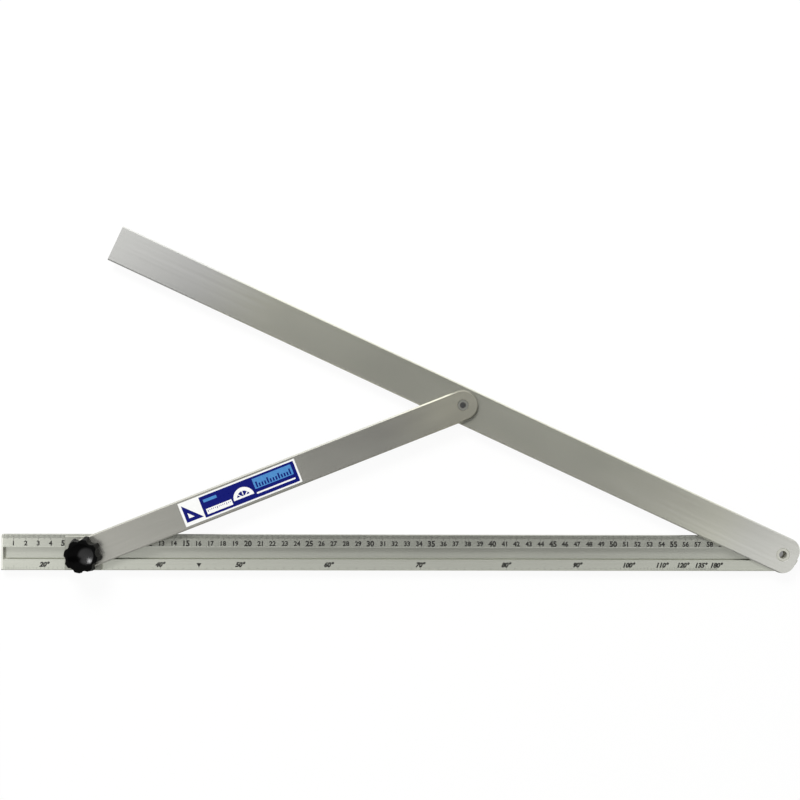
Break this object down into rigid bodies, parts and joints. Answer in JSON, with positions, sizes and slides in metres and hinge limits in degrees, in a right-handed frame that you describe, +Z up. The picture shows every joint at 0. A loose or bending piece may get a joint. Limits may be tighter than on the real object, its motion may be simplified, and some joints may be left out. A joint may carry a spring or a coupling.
{
  "type": "folding angle rule",
  "caption": "Slotted centimetre rule with a riveted blade and strut that set an angle, clamped by a star knob on a sliding index plate.",
  "frame": {"origin": "on the axis of the main rivet's bore, level with the rule's underside", "axes": "+X along the rule, from the slide towards the main rivet's end; +Y towards the side the blade opens to; +Z up, out of the printed face"},
  "size_m": [0.6545, 0.2808, 0.0301],
  "materials": {
    "rule_aluminium": "satin anodised",
    "block_aluminium": "milled",
    "blade_aluminium": "satin anodised",
    "strut_aluminium": "satin anodised",
    "plate_aluminium": "satin anodised",
    "cap_plastic": "moulded",
    "nylon": "smooth",
    "rivet_metal": "nickel plated",
    "steel": "zinc plated",
    "insert_brass": "turned",
    "knob_plastic": "fine moulded texture",
    "cap_disc": "gloss",
    "label_print": "printed vinyl"
  },
  "bodies": {
    "rule": {"base_rule": "rule_aluminium", "end_cap": "cap_plastic", "pivot_block": "block_aluminium"},
    "main_rivet": {"pivot_eyelet": "rivet_metal", "pivot_washer": "nylon"},
    "blade": {"blade": "blade_aluminium"},
    "strut_rivet": {"strut_eyelet": "rivet_metal", "strut_washer": "nylon"},
    "strut": {"strut": "strut_aluminium", "label": "label_print", "clamp_washer": "steel"},
    "nut": {"slide_nut": "steel"},
    "plate": {"index_plate": "plate_aluminium"},
    "stud": {"knob_stud": "steel", "knob_insert": "insert_brass"},
    "knob": {"knob": "knob_plastic", "knob_cap": "cap_disc"}
  },
  "joints": [
    {"name": "blade_close", "type": "hinge", "parent": "rule", "child": "main_rivet", "pos_m": [0, 0, 0.0075], "axis": [0, 0, -1], "range_deg": [-24.7, 0]},
    {"name": "blade_open", "type": "hinge", "parent": "main_rivet", "child": "blade", "pos_m": [0, 0, 0.0075], "axis": [0, 0, -1], "range_deg": [0, 155.3]},
    {"name": "strut_close", "type": "hinge", "parent": "blade", "child": "strut_rivet", "pos_m": [-0.26528, 0.12202, 0.0105], "axis": [0, 0, 1], "range_deg": [-46.43, 0]},
    {"name": "strut_open", "type": "hinge", "parent": "strut_rivet", "child": "strut", "pos_m": [-0.26528, 0.12202, 0.0105], "axis": [0, 0, 1], "range_deg": [0, 133.57]},
    {"name": "nut_slide", "type": "slide", "parent": "rule", "child": "nut", "axis": [1, 0, 0], "range_m": [0, 0.53387]},
    {"name": "plate_slide", "type": "slide", "parent": "nut", "child": "plate", "axis": [1, 0, 0], "range_m": [-0.05013, 0]},
    {"name": "knob_turn", "type": "hinge", "parent": "stud", "child": "knob", "pos_m": [-0.57147, 0, 0.01525], "axis": [0, 0, 1], "range_deg": [0, 360]},
    {"name": "knob_rise", "type": "slide", "parent": "strut", "child": "stud", "axis": [0, 0, 1], "range_m": [0, 0.001]}
  ],
  "couplings": [
    {"joint": "strut_close", "follows": "blade_close", "ratio": 1.8797},
    {"joint": "plate_slide", "follows": "blade_close", "m_per_rad": 0.11629},
    {"joint": "strut_open", "follows": "blade_open", "ratio": 0.86009},
    {"joint": "nut_slide", "follows": "blade_open", "m_per_rad": 0.19696},
    {"joint": "knob_rise", "follows": "knob_turn", "m_per_rad": 0.00015915}
  ]
}
